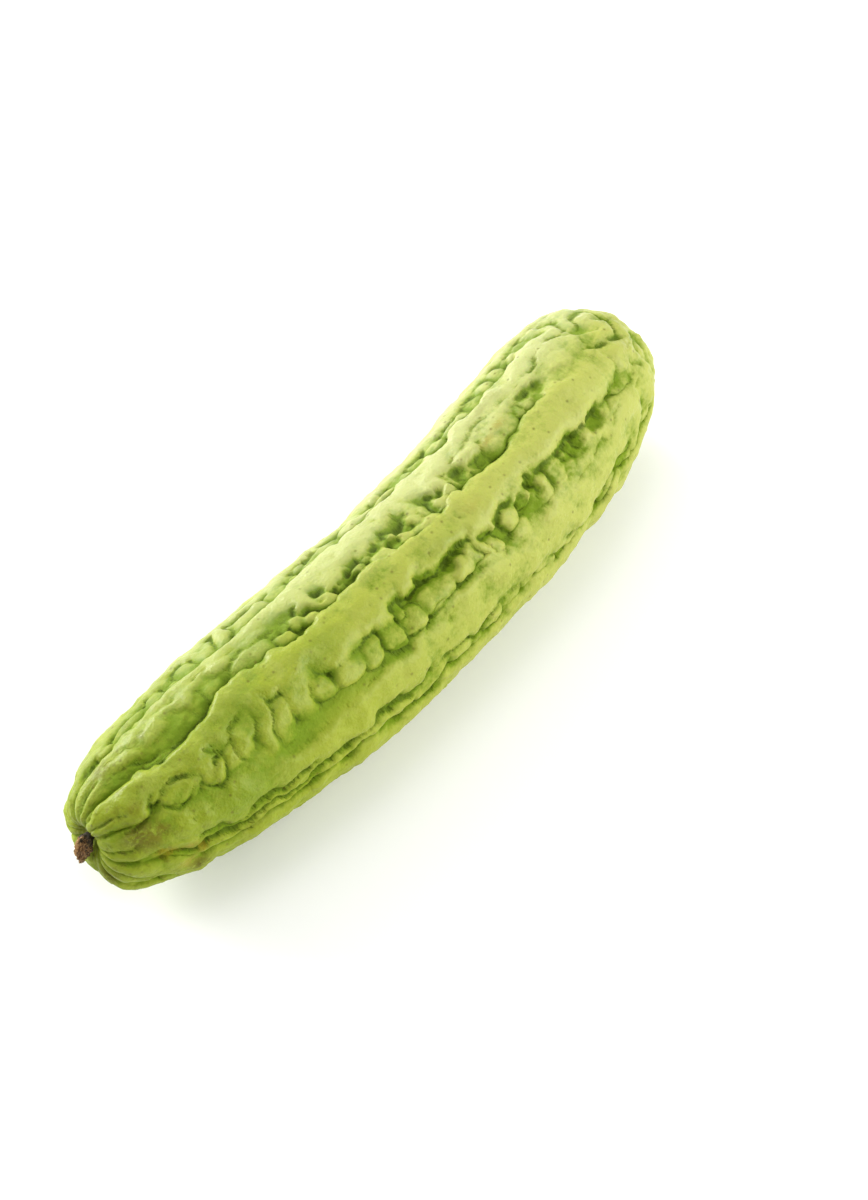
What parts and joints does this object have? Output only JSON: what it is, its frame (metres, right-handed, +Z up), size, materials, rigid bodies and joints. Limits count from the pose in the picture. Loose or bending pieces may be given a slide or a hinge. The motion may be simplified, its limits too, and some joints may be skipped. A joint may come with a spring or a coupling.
{
  "type": "bitter gourd",
  "caption": "Long bowed bitter gourd lying on its side, with lengthwise ridges, warty valleys, a cut stalk at one end and a dried flower at the other.",
  "frame": {"origin": "on the ground, under the middle of the part's box", "axes": "+X along the gourd to its stem end, -X to its blossom end; its middle bows towards -Y; +Z up"},
  "size_m": [0.2861, 0.0722, 0.0662],
  "materials": {
    "rind": "fresh pale green waxy rind, satin on the ridges and darker and moister in the creases; leather stands in for vegetable skin",
    "cut_stalk": "fibrous green stalk with a pale drying cut face",
    "dry_flower": "matt shrivelled brown petals, charcoal at the neck"
  },
  "bodies": {
    "root": {"fruit": "rind", "stalk_stub": "cut_stalk", "dried_flower": "dry_flower"}
  },
  "joints": []
}
